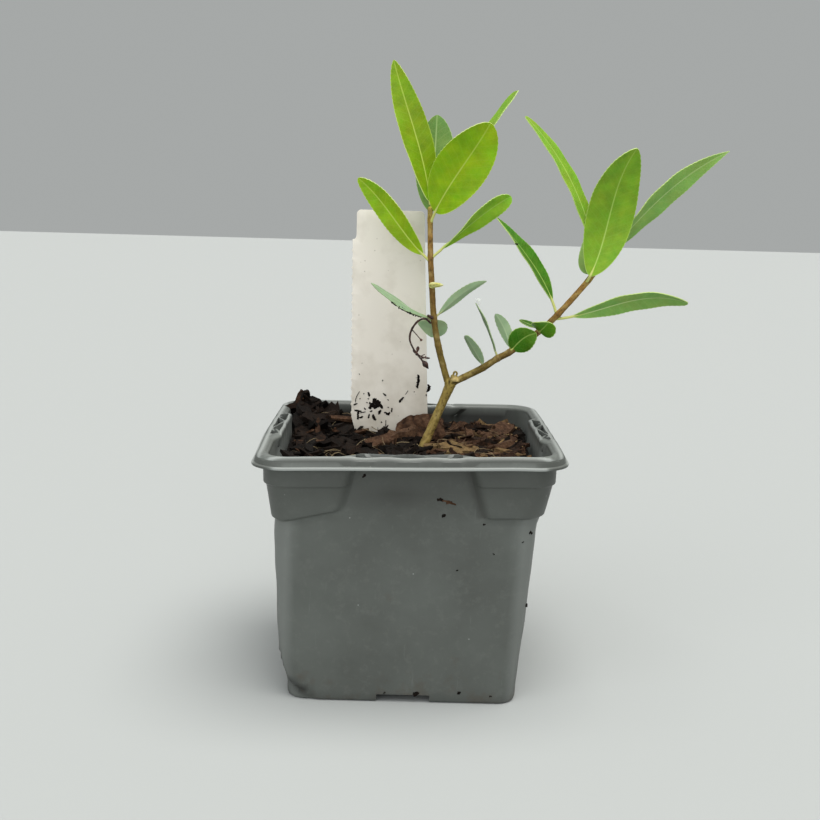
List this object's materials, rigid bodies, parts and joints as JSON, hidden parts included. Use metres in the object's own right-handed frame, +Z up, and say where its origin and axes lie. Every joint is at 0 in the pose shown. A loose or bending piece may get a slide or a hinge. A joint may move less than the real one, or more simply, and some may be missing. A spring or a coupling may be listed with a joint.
{
  "type": "potted phillyrea",
  "caption": "Young evergreen shrub with two leafy shoots on a short leaning trunk, in a square plastic nursery pot with bark mix and a blank plant label.",
  "frame": {"origin": "centre of the pot's flat underside, on the surface that the pot stands on", "axes": "+Z up, +X to the right of the pot's front, +Y to its back"},
  "size_m": [0.1366, 0.09, 0.1887],
  "materials": {
    "pot_plastic": "thin blue-grey moulded polypropylene, satin, dusty",
    "bark_mix": "rough, shredded bark and peat, dark and damp",
    "label_plastic": "smooth thin white plastic, bare, with specks of mix near its foot",
    "bark": "finely cracked olive-tan bark",
    "twig_bark": "young smooth brown bark",
    "bud": "soft yellow-green bud scales",
    "dry_stalk": "dried dark brown stalk",
    "young_leaf": "leathery bright yellow-green leaf, satin",
    "grown_leaf": "leathery mid-green leaf, satin",
    "dark_leaf": "leathery dark green leaf, glossy",
    "dull_leaf": "grey-green leaf underside, matt"
  },
  "bodies": {
    "root": {"pot": "pot_plastic", "potting_mix": "bark_mix", "plant_label": "label_plastic", "trunk": "bark", "left_stem": "twig_bark", "right_stem": "twig_bark", "pruned_stub": "bark", "side_bud": "bud", "spent_flower_stalk": "dry_stalk", "left_crown": "young_leaf", "right_crown": "grown_leaf", "leaf_left_mid_left": "young_leaf", "leaf_left_mid_right": "young_leaf", "leaf_left_low_left": "dull_leaf", "leaf_left_low_right": "dull_leaf", "leaf_left_low_back": "dull_leaf", "leaf_right_first": "dull_leaf", "leaf_right_thin": "dull_leaf", "leaf_right_small_back": "dull_leaf", "leaf_right_round": "dark_leaf", "leaf_right_small_front": "dark_leaf", "leaf_right_small_dark": "dark_leaf", "leaf_right_mid_left": "dark_leaf", "leaf_right_mid_right": "grown_leaf"}
  },
  "joints": []
}
